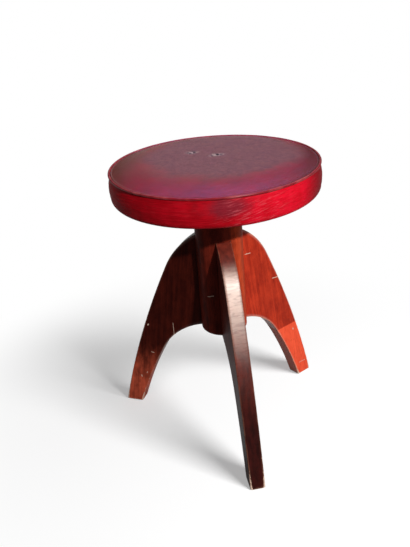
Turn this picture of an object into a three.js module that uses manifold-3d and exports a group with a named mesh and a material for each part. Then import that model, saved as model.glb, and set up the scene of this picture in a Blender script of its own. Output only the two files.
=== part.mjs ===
// A revolving stool: a stuffed leather seat on a coarse screw, a turned column and three plank legs.
// Millimetres, +Z up. The origin is on the column's axis at the floor, and one leg points along -Y.

import * as THREE from 'three';
import { mergeVertices } from 'three/addons/utils/BufferGeometryUtils.js';
import Module from 'manifold-3d';

const wasm = await Module();
wasm.setup();

// Fits
const seatedGap = 0.3; // between pieces that lie face to face
const threadPlay = 0.4; // between the screw's thread and the nut's, radially and on each flank
const stopGap = 0.3; // left between the stop washer and the nut at full height
const restGap = 0.5; // between the plate's boss and the nut at the lowest stop

// Column
const columnDiameter = 80;
const columnLength = 232;
const columnClearance = 192; // from the floor to the column's underside
const columnRimRound = 4;
const housingDepth = 8; // how deep each leg is let into the column

// Legs: a plank cut to two arcs on its outer edge and two on its inner edge
const legCount = 3;
const frontLegAngle = -90; // degrees from +X
const legThickness = 25;
const legArris = 1.2; // the eased edges of the plank
const footRadius = 212; // from the column's axis to the outer edge of the sole
const footWidth = 33;
const shoulderRadius = 98; // where the outer edge turns from the long arc into the shoulder
const shoulderHeight = 305;
const shoulderBow = 7.6; // how far the shoulder arc stands out from its chord
const outerBow = 8;
const legTopBelowColumn = 52.5; // from the column's top down to the leg's top edge
const archRadius = 117; // where the inner edge turns from the long arc into the arch
const archHeight = 137;
const archBow = 11.2;
const innerBow = 3.9;
const archSpring = 4; // from the column's underside up to the arch

// Dowels across the joint between leg and column
const dowelsPerLeg = 3;
const dowelDiameter = 8;
const dowelLength = 34;
const dowelInColumn = 11.5;
const dowelMargin = 30; // from the joint's ends to the first and last dowel

// Screw
const threadMinor = 10; // radius at the thread's root
const threadMajor = 12; // radius at the thread's crest
const threadPitch = 8;
const threadCrest = 3; // width of the ridge at its crest
const threadFlank = 1; // height that each flank takes along the axis
const threadSteps = 16; // facets in one turn
const seatLift = 100; // travel from the lowest stop to the highest
const spigotDiameter = 19; // plain end in the plate's boss
const footSpigotDiameter = 14; // turned down end that carries the stop washer
const rivetDiameter = 19; // riveted over end below the washer
const rivetHeight = 3;
const washerDiameter = 32;
const washerThickness = 6;

// Nut let into the column
const nutDiameter = 34;
const nutLength = 60;
const nutFlangeDiameter = 64;
const nutFlangeThickness = 5;
const nutScrewCount = 3;
const nutScrewCircle = 50; // diameter of the circle that the flange's screws stand on

// Wood screws
const screwDiameter = 4.4;
const screwHeadDiameter = 9;
const screwHeadHeight = 2.6;
const nutScrewLength = 24;
const plateScrewLength = 19;
const slotWidth = 1.2;
const slotDepth = 1;

// Plate under the seat
const plateDiameter = 130;
const plateThickness = 5;
const plateRimTaper = 2;
const bossDiameter = 44;
const bossHeight = 15;
const bossFillet = 4;
const pinDiameter = 5;
const plateScrewCount = 4;
const plateScrewCircle = 100;
const firstPlateScrew = 45; // degrees from +X

// Seat
const boardDiameter = 334;
const boardThickness = 18;
const boardEdgeRound = 8;
const padThickness = 35; // at the crown
const crownRise = 9; // from the edge of the pad to its crown
const crownFlatDiameter = 130;
const crownFullness = 2.6; // power of the roll-off towards the edge
const crownSpacing = 1.6; // power that draws the crown's facets towards the edge
const leatherThickness = 1.4;
const bandBulge = 1.4; // how far the side stands out at mid height
const bandTuck = 1.6; // how far the side is drawn in under the piping
const hemWidth = 17; // leather turned under the board
const pipingDiameter = 5.2;
const pipingInset = 0.6; // from the board's edge in to the cord's centre
const pipingRise = 1; // from the pad's edge up to the cord's centre
const clothThickness = 0.8;
const clothDiameter = 312;

// Facets
const seatFacets = 48;
const sideSteps = 4; // facets up the seat's side and round its lower corner
const crownSteps = 5;
const columnFacets = 40;
const roundFacets = 32;
const smallFacets = 12;
const arcSteps = 10; // facets along each arc of a leg

// Levels and radii that follow from the sizes
const columnRadius = columnDiameter / 2;
const columnTop = columnClearance + columnLength;
const housingFloor = columnRadius - housingDepth;
const legRoot = housingFloor + seatedGap;
const legTop = columnTop - legTopBelowColumn;
const legArchRoot = columnClearance + archSpring;
const nutBottom = columnTop - nutLength;
const bossBottom = columnTop + restGap;
const plateBottom = bossBottom + bossHeight;
const plateTop = plateBottom + plateThickness;
const boardBottom = plateTop + seatedGap;
const boardTop = boardBottom + boardThickness;
const padBottom = boardTop + seatedGap;
const padTop = padBottom + padThickness;
const boardRadius = boardDiameter / 2;
const washerTop = nutBottom - seatLift - stopGap;
const washerBottom = washerTop - washerThickness;
const spindleBottom = washerBottom - seatedGap - rivetHeight;
const boreRadius = nutDiameter / 2 + seatedGap;
const boreBottom = spindleBottom - 2 * rivetHeight;

// Materials
const finish = (color, roughness, metalness) =>
  new THREE.MeshStandardMaterial({ color, roughness, metalness });
const mahogany = finish(0x6b1c12, 0.3, 0);
const beech = finish(0xb58a5a, 0.7, 0);
const birch = finish(0xc8a878, 0.75, 0);
const blackIron = finish(0x2c2b2a, 0.6, 0.8);
const brightSteel = finish(0x8f8f8c, 0.35, 1);
const redLeather = finish(0x9c1226, 0.38, 0);
const darkLeather = finish(0x7d2434, 0.35, 0);
const stuffing = finish(0xcdbf9f, 0.95, 0);
const dustCloth = finish(0x1d1b1a, 0.95, 0);

// Solids

/** A closed three.js geometry as a manifold solid. */
function toSolid(geometry) {
  const bare = geometry.index ? geometry.toNonIndexed() : geometry.clone();
  bare.deleteAttribute('normal');
  bare.deleteAttribute('uv');
  const welded = mergeVertices(bare, 1e-4);
  return new wasm.Manifold(new wasm.Mesh({
    numProp: 3,
    vertProperties: new Float32Array(welded.attributes.position.array),
    triVerts: new Uint32Array(welded.index.array),
  }));
}

/** A manifold solid as a three.js geometry with flat facets. */
function toGeometry(solid) {
  const mesh = solid.getMesh();
  const geometry = new THREE.BufferGeometry();
  geometry.setAttribute('position', new THREE.BufferAttribute(new Float32Array(mesh.vertProperties), 3));
  geometry.setIndex(new THREE.BufferAttribute(new Uint32Array(mesh.triVerts), 1));
  return geometry;
}

/** A profile of [radius, height] points turned round the Z axis. */
function turned(profile, facets) {
  const points = profile.map(([radius, height]) => new THREE.Vector2(radius, height));
  const geometry = new THREE.LatheGeometry(points, facets);
  geometry.rotateX(Math.PI / 2);
  return geometry;
}

/** A plain round bar or disc about the Z axis, from one height to another. */
function bar(radius, bottom, top, facets = smallFacets) {
  return turned([[0, bottom], [radius, bottom], [radius, top], [0, top]], facets);
}

/** A ring about the Z axis. */
function ring(inner, outer, bottom, top, facets) {
  return turned([[inner, bottom], [outer, bottom], [outer, top], [inner, top], [inner, bottom]], facets);
}

/** Points of a quarter round from one direction to another about a centre, in degrees. */
function roundCorner(centreRadius, centreHeight, radius, from, to, steps) {
  return Array.from({ length: steps + 1 }, (_, k) => {
    const angle = THREE.MathUtils.degToRad(from + ((to - from) * k) / steps);
    return [centreRadius + radius * Math.cos(angle), centreHeight + radius * Math.sin(angle)];
  });
}

/** Points of an arc between two points, standing out to the left of its chord by the bow. */
function bowed([x0, y0], [x1, y1], bow, steps) {
  const chord = Math.hypot(x1 - x0, y1 - y0);
  const radius = (chord * chord) / (8 * bow) + bow / 2;
  const half = Math.asin(chord / 2 / radius);
  const along = [(x1 - x0) / chord, (y1 - y0) / chord];
  const left = [-along[1], along[0]];
  return Array.from({ length: steps + 1 }, (_, k) => {
    const angle = -half + (2 * half * k) / steps;
    const reach = chord / 2 + radius * Math.sin(angle);
    const height = radius * Math.cos(angle) - radius * Math.cos(half);
    return [x0 + along[0] * reach + left[0] * height, y0 + along[1] * reach + left[1] * height];
  });
}

/** A sheet along an open outline, with its thickness taken to the right of the outline's direction. */
function sheetProfile(outline, thickness) {
  const outer = outline.map(([x, y], k) => {
    const before = outline[Math.max(k - 1, 0)];
    const after = outline[Math.min(k + 1, outline.length - 1)];
    const [dx, dy] = [after[0] - before[0], after[1] - before[1]];
    const scale = thickness / Math.hypot(dx, dy);
    return [x + dy * scale, y - dx * scale];
  });
  return [...outer, ...outline.toReversed(), outer[0]];
}

const object = new THREE.Group();

/** Adds a named mesh to a group. */
function add(name, geometry, material, parent = object) {
  const mesh = new THREE.Mesh(geometry, material);
  mesh.name = name;
  parent.add(mesh);
  return mesh;
}

/** Turns a copy of a geometry about the Z axis, in degrees. */
function turnedTo(geometry, degrees) {
  return geometry.clone().rotateZ(THREE.MathUtils.degToRad(degrees));
}

/** Angles that share a full turn evenly. */
function around(count, first = 0) {
  return Array.from({ length: count }, (_, k) => first + (360 * k) / count);
}

// The legs point along -Y and 120 degrees to each side, and are drawn pointing along +X.
const legNames = ['leg_front', 'leg_right', 'leg_left'];
const legAngles = around(legCount, frontLegAngle);

// Dowels

const jointBottom = legArchRoot + dowelMargin;
const jointTop = legTop - dowelMargin;
const dowelHeights = Array.from({ length: dowelsPerLeg }, (_, k) =>
  jointBottom + ((jointTop - jointBottom) * k) / (dowelsPerLeg - 1));
const dowelStart = housingFloor - dowelInColumn;

/** A round bar along +X, from one radius to another at a height. */
function radialBar(radius, from, to, height) {
  return bar(radius, from, to).rotateZ(Math.PI / smallFacets).rotateY(Math.PI / 2).translate(0, 0, height);
}

const dowelHoles = dowelHeights.map((height) => radialBar(
  dowelDiameter / 2 + seatedGap,
  dowelStart - seatedGap,
  dowelStart + dowelLength + seatedGap,
  height,
));

legAngles.forEach((angle, leg) => {
  dowelHeights.forEach((height, k) => {
    const dowel = radialBar(dowelDiameter / 2, dowelStart, dowelStart + dowelLength, height);
    add(`${legNames[leg]}_dowel_${k + 1}`, turnedTo(dowel, angle), beech);
  });
});

// Legs

const shoulder = [shoulderRadius, shoulderHeight];
const footOuter = [footRadius, 0];
const footInner = [footRadius - footWidth, 0];
const arch = [archRadius, archHeight];
const legOutline = [
  ...bowed([legRoot, legTop], shoulder, shoulderBow, arcSteps),
  ...bowed(shoulder, footOuter, outerBow, arcSteps).slice(1),
  ...bowed(footInner, arch, -innerBow, arcSteps / 2),
  ...bowed(arch, [legRoot, legArchRoot], -archBow, arcSteps).slice(1),
];

/** A plank cut to the leg's outline, with eased edges, standing in the XZ plane and grown all round. */
function legPlank(grown) {
  const shape = new THREE.Shape(legOutline.map(([radius, height]) => new THREE.Vector2(radius, height)));
  const depth = legThickness + 2 * grown - 2 * legArris;
  const plank = new THREE.ExtrudeGeometry(shape, {
    depth,
    bevelThickness: legArris,
    bevelSize: legArris,
    bevelOffset: grown - legArris,
    bevelSegments: 1,
  });
  return toSolid(plank.translate(0, 0, -depth / 2).rotateX(Math.PI / 2));
}

let legSolid = legPlank(0);
dowelHoles.forEach((hole) => {
  legSolid = legSolid.subtract(toSolid(hole));
});
const legGeometry = toGeometry(legSolid);
legAngles.forEach((angle, leg) => add(legNames[leg], turnedTo(legGeometry, angle), mahogany));

// Wood screws: countersunk, slotted, with a plain shank

/** A countersunk screw with its head's face at height 0, pointing down. */
function woodScrew(length) {
  const shank = screwDiameter / 2;
  const head = screwHeadDiameter / 2;
  const body = turned([
    [0, -length],
    [shank / 3, -length + shank],
    [shank, -length + 3 * shank],
    [shank, -screwHeadHeight],
    [head, 0],
    [0, 0],
  ], smallFacets);
  const slot = new THREE.BoxGeometry(2 * head + 1, slotWidth, 2 * slotDepth);
  return toSolid(body).subtract(toSolid(slot));
}

/** The room that a screw needs: its own outline with the fit all round it. */
function screwHole(length) {
  const shank = screwDiameter / 2 + seatedGap;
  const head = screwHeadDiameter / 2 + seatedGap;
  return toSolid(turned([
    [0, -length - seatedGap],
    [shank, -length - seatedGap],
    [shank, -screwHeadHeight - seatedGap],
    [head, -seatedGap / 2],
    [head, slotDepth],
    [0, slotDepth],
  ], smallFacets));
}

/** Cuts a solid with a tool at each of a circle's places. */
function cutAround(solid, tool, circle, angles, height, flip = 0) {
  return angles.reduce((rest, angle) => {
    const placed = tool.rotate([flip, 0, 0]).translate([circle / 2, 0, height]).rotate([0, 0, angle]);
    return rest.subtract(placed);
  }, solid);
}

// Column

const columnProfile = [
  [0, columnClearance],
  ...roundCorner(columnRadius - columnRimRound, columnClearance + columnRimRound, columnRimRound, -90, 0, 4),
  ...roundCorner(columnRadius - columnRimRound, columnTop - columnRimRound, columnRimRound, 0, 90, 4),
  [0, columnTop],
];
let columnSolid = toSolid(turned(columnProfile, columnFacets));
columnSolid = columnSolid.subtract(toSolid(bar(boreRadius, boreBottom, columnTop + 1, roundFacets)));
columnSolid = columnSolid.subtract(toSolid(bar(
  nutFlangeDiameter / 2 + seatedGap,
  columnTop - nutFlangeThickness - seatedGap,
  columnTop + 1,
  roundFacets,
)));

const housing = legPlank(seatedGap);
legAngles.forEach((angle) => {
  columnSolid = columnSolid.subtract(housing.rotate([0, 0, angle]));
  dowelHoles.forEach((hole) => {
    columnSolid = columnSolid.subtract(toSolid(turnedTo(hole, angle)));
  });
});
const nutScrewAngles = around(nutScrewCount, frontLegAngle + 180 / legCount);
columnSolid = cutAround(columnSolid, screwHole(nutScrewLength), nutScrewCircle, nutScrewAngles, columnTop);
add('column', toGeometry(columnSolid), mahogany);

// Screw thread

/**
 * A bar with a helical ridge. The surface is a grid: one row of four points for each step round the
 * axis, which climb by the pitch in a turn, so that a row's far edge is the row one turn later. Both
 * ends are closed on the axis and lie a turn outside the wanted length, which trims them.
 */
function threadedBar(minor, major, crest, from, to) {
  const start = (threadFlank * 2 + crest) / 2;
  const offsets = [-start, -start + threadFlank, start - threadFlank, start];
  const radii = [minor, major, major, minor];
  const firstTurn = Math.floor(from / threadPitch) - 2;
  const turns = Math.ceil((to - from) / threadPitch) + 4;
  const rows = turns * threadSteps;
  const positions = [];
  for (let row = 0; row <= rows + threadSteps; row += 1) {
    const angle = (2 * Math.PI * row) / threadSteps;
    offsets.forEach((offset, j) => positions.push(
      radii[j] * Math.cos(angle),
      radii[j] * Math.sin(angle),
      threadPitch * (firstTurn + row / threadSteps) + offset,
    ));
  }
  const at = (row, j) => (j < 4 ? row * 4 + j : (row + threadSteps) * 4);
  const triangles = [];
  for (let row = 0; row < rows; row += 1) {
    for (let j = 0; j < 4; j += 1) {
      triangles.push(at(row, j), at(row + 1, j), at(row + 1, j + 1));
      triangles.push(at(row, j), at(row + 1, j + 1), at(row, j + 1));
    }
  }
  const rim = (row) => [
    ...Array.from({ length: threadSteps }, (_, k) => at(row + k, 0)),
    at(row + threadSteps, 0), at(row, 3), at(row, 2), at(row, 1),
  ];
  const close = (row, height, up) => {
    const centre = positions.length / 3;
    positions.push(0, 0, height);
    const loop = rim(row);
    loop.forEach((vertex, k) => {
      const next = loop[(k + 1) % loop.length];
      triangles.push(...(up ? [centre, vertex, next] : [centre, next, vertex]));
    });
  };
  close(0, threadPitch * (firstTurn - 0.5), false);
  close(rows, threadPitch * (firstTurn + turns + 1.5), true);
  const solid = new wasm.Manifold(new wasm.Mesh({
    numProp: 3,
    vertProperties: new Float32Array(positions),
    triVerts: new Uint32Array(triangles),
  }));
  return solid.intersect(toSolid(bar(major + 1, from, to, roundFacets)));
}

// Nut

const nutScrewHole = screwHole(nutScrewLength);
let nutSolid = toSolid(turned([
  [0, nutBottom],
  [nutDiameter / 2, nutBottom],
  [nutDiameter / 2, columnTop - nutFlangeThickness],
  [nutFlangeDiameter / 2, columnTop - nutFlangeThickness],
  [nutFlangeDiameter / 2, columnTop],
  [0, columnTop],
], roundFacets));
nutSolid = nutSolid.subtract(threadedBar(
  threadMinor + threadPlay,
  threadMajor + threadPlay,
  threadCrest + 2 * threadPlay,
  nutBottom - 1,
  columnTop + 1,
));
nutSolid = cutAround(nutSolid, nutScrewHole, nutScrewCircle, nutScrewAngles, columnTop);
add('spindle_nut', toGeometry(nutSolid), blackIron);
nutScrewAngles.forEach((angle, k) => {
  const screw = toGeometry(woodScrew(nutScrewLength))
    .translate(nutScrewCircle / 2, 0, columnTop - seatedGap / 2);
  add(`nut_screw_${k + 1}`, turnedTo(screw, angle), brightSteel);
});

// Stop washer, loose on the spindle's foot

add('stop_washer', ring(
  footSpigotDiameter / 2 + seatedGap,
  washerDiameter / 2,
  washerBottom,
  washerTop,
  roundFacets,
), blackIron);

// Everything that turns with the seat

const seat = new THREE.Group();
object.add(seat);

// Spindle

const pinHeight = bossBottom + bossHeight / 2;
const threadTop = bossBottom - seatedGap;
const threadBottom = washerTop + seatedGap;
const pinHole = toSolid(bar(pinDiameter / 2 + seatedGap, -bossDiameter, bossDiameter)
  .rotateX(Math.PI / 2).translate(0, 0, pinHeight));
let spindleSolid = threadedBar(threadMinor, threadMajor, threadCrest, threadBottom, threadTop);
spindleSolid = spindleSolid.add(toSolid(turned([
  [0, spindleBottom],
  [rivetDiameter / 2 - rivetHeight / 2, spindleBottom],
  [rivetDiameter / 2, spindleBottom + rivetHeight / 2],
  [rivetDiameter / 2, spindleBottom + rivetHeight],
  [footSpigotDiameter / 2, spindleBottom + rivetHeight],
  [footSpigotDiameter / 2, threadBottom + 1],
  [0, threadBottom + 1],
], threadSteps)));
spindleSolid = spindleSolid.add(toSolid(bar(spigotDiameter / 2, threadTop - 1, plateTop, threadSteps)));
spindleSolid = spindleSolid.subtract(pinHole);
add('spindle', toGeometry(spindleSolid), brightSteel, seat);
add('spindle_pin', bar(pinDiameter / 2, -bossDiameter / 2, bossDiameter / 2)
  .rotateX(Math.PI / 2).translate(0, 0, pinHeight), brightSteel, seat);

// Plate under the seat

const bossRadius = bossDiameter / 2;
const plateScrewAngles = around(plateScrewCount, firstPlateScrew);
let plateSolid = toSolid(turned([
  [0, bossBottom],
  [bossRadius - 1, bossBottom],
  [bossRadius, bossBottom + 1],
  ...roundCorner(bossRadius + bossFillet, plateBottom - bossFillet, bossFillet, 180, 90, 3),
  [plateDiameter / 2 - plateRimTaper, plateBottom],
  [plateDiameter / 2, plateBottom + plateRimTaper],
  [plateDiameter / 2, plateTop],
  [0, plateTop],
], roundFacets));
plateSolid = plateSolid.subtract(toSolid(
  bar(spigotDiameter / 2 + seatedGap, bossBottom - 1, plateTop + 1, threadSteps),
));
plateSolid = plateSolid.subtract(pinHole);
const plateScrewHole = screwHole(plateScrewLength);
plateSolid = cutAround(plateSolid, plateScrewHole, plateScrewCircle, plateScrewAngles, plateBottom, 180);
add('seat_plate', toGeometry(plateSolid), blackIron, seat);
plateScrewAngles.forEach((angle, k) => {
  const screw = toGeometry(woodScrew(plateScrewLength).rotate([180, 0, 0]))
    .translate(plateScrewCircle / 2, 0, plateBottom + seatedGap / 2);
  add(`plate_screw_${k + 1}`, turnedTo(screw, angle), brightSteel, seat);
});

// Seat board

let boardSolid = toSolid(turned([
  [0, boardBottom],
  ...roundCorner(boardRadius - boardEdgeRound, boardBottom + boardEdgeRound, boardEdgeRound, -90, 0, sideSteps),
  [boardRadius, boardTop],
  [0, boardTop],
], seatFacets));
boardSolid = cutAround(boardSolid, plateScrewHole, plateScrewCircle, plateScrewAngles, plateBottom, 180);
add('seat_board', toGeometry(boardSolid), birch, seat);

// Stuffing, piping and leather

const padEdgeTop = padTop - crownRise;
const pipingRadius = pipingDiameter / 2;
const pipingCentre = [boardRadius - pipingInset, padEdgeTop + pipingRise];
const crownFlat = crownFlatDiameter / 2;
const crownEdge = pipingCentre[0] - pipingRadius - 2 * seatedGap;

/** Height of the crowned top above the pad's edge: flat at the middle, falling ever faster outwards. */
function crown(radius) {
  const out = Math.max(0, (radius - crownFlat) / (crownEdge - crownFlat));
  return crownRise * (1 - out ** crownFullness);
}

/** Radii at which the crown is drawn, closer together towards the edge. */
const crownRadii = Array.from({ length: crownSteps + 1 }, (_, k) => {
  const share = 1 - (1 - k / crownSteps) ** crownSpacing;
  return crownFlat + (crownEdge - crownFlat) * share;
});

/** The side's outline from the hem up to the piping: turned under, swelling out, then drawn in. */
function sideOutline(offset) {
  const corner = roundCorner(
    boardRadius - boardEdgeRound,
    boardBottom + boardEdgeRound,
    boardEdgeRound + offset,
    -90,
    0,
    sideSteps,
  );
  const low = boardBottom + boardEdgeRound;
  const high = pipingCentre[1] - pipingRadius - 2 * seatedGap;
  const wall = Array.from({ length: sideSteps }, (_, k) => {
    const share = (k + 1) / sideSteps;
    const swell = bandBulge * Math.sin(Math.PI * Math.min(1, share * 1.1)) - bandTuck * share ** 3;
    return [boardRadius + offset + swell, low + (high - low) * share];
  });
  return [...corner, ...wall];
}

const padSide = sideOutline(0).filter(([, height]) => height > padBottom + 1);
add('seat_pad', turned([
  [0, padBottom],
  [boardRadius, padBottom],
  ...padSide,
  [crownEdge, padEdgeTop],
  ...crownRadii.slice(0, -1).reverse().map((radius) => [radius, padEdgeTop + crown(radius)]),
  [0, padTop],
], seatFacets), stuffing, seat);

const hemEnd = [boardRadius - boardEdgeRound - hemWidth, boardBottom - seatedGap];
const bandInside = [hemEnd, ...sideOutline(seatedGap)];
add('seat_cover_band', turned(sheetProfile(bandInside, leatherThickness), seatFacets), redLeather, seat);

const topInside = [
  [0, padTop + seatedGap],
  ...crownRadii.map((radius) => [radius, padEdgeTop + seatedGap + crown(radius)]),
];
const topOutside = topInside.map(([radius, height]) => [radius, height + leatherThickness]).reverse();
add('seat_cover_top', turned([...topInside, ...topOutside], seatFacets), darkLeather, seat);

add('seat_piping', turned(
  roundCorner(pipingCentre[0], pipingCentre[1], pipingRadius, 0, 360, 8),
  seatFacets,
), darkLeather, seat);

// Dust cloth under the hem, cut out round the plate

const clothTop = boardBottom - 2 * seatedGap - leatherThickness;
add('bottom_cloth', ring(
  plateDiameter / 2 + 2,
  clothDiameter / 2,
  clothTop - clothThickness,
  clothTop,
  seatFacets,
), dustCloth, seat);

export default object;
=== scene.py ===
import math

import bpy
import numpy as np
from mathutils import Matrix, Vector


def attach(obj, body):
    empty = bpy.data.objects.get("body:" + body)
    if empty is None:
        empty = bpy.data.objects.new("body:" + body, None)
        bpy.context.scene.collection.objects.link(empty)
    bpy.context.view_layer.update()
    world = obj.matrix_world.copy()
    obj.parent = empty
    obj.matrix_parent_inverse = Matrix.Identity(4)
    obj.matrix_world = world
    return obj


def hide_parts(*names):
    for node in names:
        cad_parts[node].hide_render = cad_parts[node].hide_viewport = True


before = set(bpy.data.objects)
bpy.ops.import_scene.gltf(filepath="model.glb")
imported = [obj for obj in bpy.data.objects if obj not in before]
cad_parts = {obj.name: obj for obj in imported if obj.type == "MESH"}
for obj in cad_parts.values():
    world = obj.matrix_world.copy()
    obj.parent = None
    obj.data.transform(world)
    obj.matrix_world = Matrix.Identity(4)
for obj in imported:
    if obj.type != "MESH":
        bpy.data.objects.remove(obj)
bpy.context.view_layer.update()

# Legs. Each is a hardwood plank 25 mm thick, sawn to two arcs on its outer edge and two on its inner
# edge, with eased arrises, stained to mahogany and varnished. Its upper end is glued into a housing in
# the column over three beech dowels.

leg_thickness = 0.025
leg_root, leg_top, leg_arch_root = 0.0323, 0.3715, 0.196
shoulder, shoulder_bow, outer_bow = (0.098, 0.305), 0.0076, 0.008
arch, arch_bow, inner_bow = (0.117, 0.137), 0.0112, 0.0039
foot_outer, foot_inner = (0.212, 0), (0.179, 0)
leg_angles = {"leg_front": -90, "leg_right": 30, "leg_left": 150}
seated_gap = 0.0003


def round_angles(columns):
    """The angles a_j = 2 pi j / columns."""
    return 2 * math.pi * np.arange(columns) / columns


def polar(radius, angle, height):
    """Points (r cos a, r sin a, z) from radii, angles and heights."""
    return np.stack(np.broadcast_arrays(radius * np.cos(angle), radius * np.sin(angle), height), -1)


def turned(profile, columns):
    """A grid from a profile turned about the Z axis: point i, j has the radius and height of point i
    of the profile, at the angle 2 pi j / columns."""
    radius, height = np.asarray(profile, float).T[..., None]
    return polar(radius, round_angles(columns), height)


def added(name, data):
    """A new object in the scene, with its mesh, lamp or camera."""
    made = bpy.data.objects.new(name, data)
    bpy.context.collection.objects.link(made)
    return made


def surface(name, grids, painted=None, sharp=35, closed=True):
    """A smooth mesh from grids of points. Quads join neighbouring rows, and the last column to the
    first if the grids are closed. Points in the same place become one, which closes poles and seams,
    and a quad with two corners in one place becomes a triangle. Edges sharper than the limit in
    degrees stay sharp. The faces are turned outwards by the sign of the volume inside them, the sum
    of a . (b x c) / 6 over its triangles."""
    points = np.concatenate([grid.reshape(-1, 3) for grid in grids])
    quads, start = [], 0
    for grid in grids:
        rows, columns = grid.shape[:2]
        number = start + np.arange(rows * columns).reshape(rows, columns)
        beside = np.roll(number, -1, axis=1)
        if not closed:
            number, beside = number[:, :-1], beside[:, :-1]
        quads.append(np.stack([number[:-1], beside[:-1], beside[1:], number[1:]], -1).reshape(-1, 4))
        start += rows * columns
    place = np.round(points * 1e7).astype(np.int64)
    _, kept, merged = np.unique(place, axis=0, return_index=True, return_inverse=True)
    points, quads = points[kept], merged.ravel()[np.concatenate(quads)]
    same = quads == np.roll(quads, -1, axis=1)
    whole = quads[~same.any(axis=1)]
    pinched = quads[same.sum(axis=1) == 1]
    corners = pinched[~same[same.sum(axis=1) == 1]].reshape(-1, 3)
    triangles = np.concatenate([whole[:, [0, 1, 2]], whole[:, [0, 2, 3]], corners])
    a, b, c = (points[triangles[:, k]] for k in range(3))
    if np.einsum("ij,ij->i", a, np.cross(b, c)).sum() < 0:
        whole, corners = whole[:, ::-1], corners[:, ::-1]
    mesh = bpy.data.meshes.new(name)
    mesh.vertices.add(len(points))
    mesh.vertices.foreach_set("co", points.astype(np.float32).ravel())
    loops = np.concatenate([whole.ravel(), corners.ravel()]).astype(np.int32)
    starts = np.concatenate([4 * np.arange(len(whole)), 4 * len(whole) + 3 * np.arange(len(corners))])
    mesh.loops.add(len(loops))
    mesh.loops.foreach_set("vertex_index", loops)
    mesh.polygons.add(len(starts))
    mesh.polygons.foreach_set("loop_start", starts.astype(np.int32))
    mesh.update(calc_edges=True)
    mesh.validate()
    mesh.shade_smooth()
    mesh.set_sharp_from_angle(angle=math.radians(sharp))
    made = added(name, mesh)
    for label, values in (painted or {}).items():
        values = np.concatenate([value.reshape(-1, *value.shape[2:]) for value in values])
        paint(made, label, values[kept])
    return made


def paint(made, label, values):
    """Writes a number or a vector for each point of a mesh, as an attribute that a finish reads."""
    kind, field = ("FLOAT", "value") if values.ndim == 1 else ("FLOAT_VECTOR", "vector")
    attribute = made.data.attributes.new(label, kind, "POINT")
    attribute.data.foreach_set(field, values.astype(np.float32).ravel())


def settled(made):
    """Applies a piece's modifiers to its mesh."""
    bpy.context.view_layer.update()
    seen = made.evaluated_get(bpy.context.evaluated_depsgraph_get())
    mesh = bpy.data.meshes.new_from_object(seen)
    made.modifiers.clear()
    made.data = mesh


def cut(made, tools):
    """Cuts a piece with other closed meshes, which are then deleted."""
    for tool in tools:
        made.modifiers.new("cut", "BOOLEAN").object = tool
    settled(made)
    for tool in tools:
        bpy.data.objects.remove(tool)
    made.data.shade_smooth()
    made.data.set_sharp_from_angle(angle=math.radians(35))


def finished(made, body, material, *nodes):
    """Gives a piece its finish and its body, and hides the CAD nodes that it stands for."""
    made.data.materials.clear()
    made.data.materials.append(material)
    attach(made, body)
    if nodes:
        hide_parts(*nodes)
    return made


class Wire:
    """One output of a node. Sums, differences and products of wires add Math nodes."""

    def __init__(self, tree, socket):
        self.tree, self.socket = tree, socket

    def math(self, operation, *values):
        node = self.tree.nodes.new("ShaderNodeMath")
        node.operation = operation
        for socket, value in zip(node.inputs, values):
            if isinstance(value, Wire):
                self.tree.links.new(value.socket, socket)
            else:
                socket.default_value = value
        return Wire(self.tree, node.outputs[0])

    def __add__(self, other):
        return self.math("ADD", self, other)

    def __sub__(self, other):
        return self.math("SUBTRACT", self, other)

    def __rsub__(self, other):
        return self.math("SUBTRACT", other, self)

    def __mul__(self, other):
        return self.math("MULTIPLY", self, other)

    def __abs__(self):
        return self.math("ABSOLUTE", self)

    __radd__ = __add__
    __rmul__ = __mul__


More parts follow.
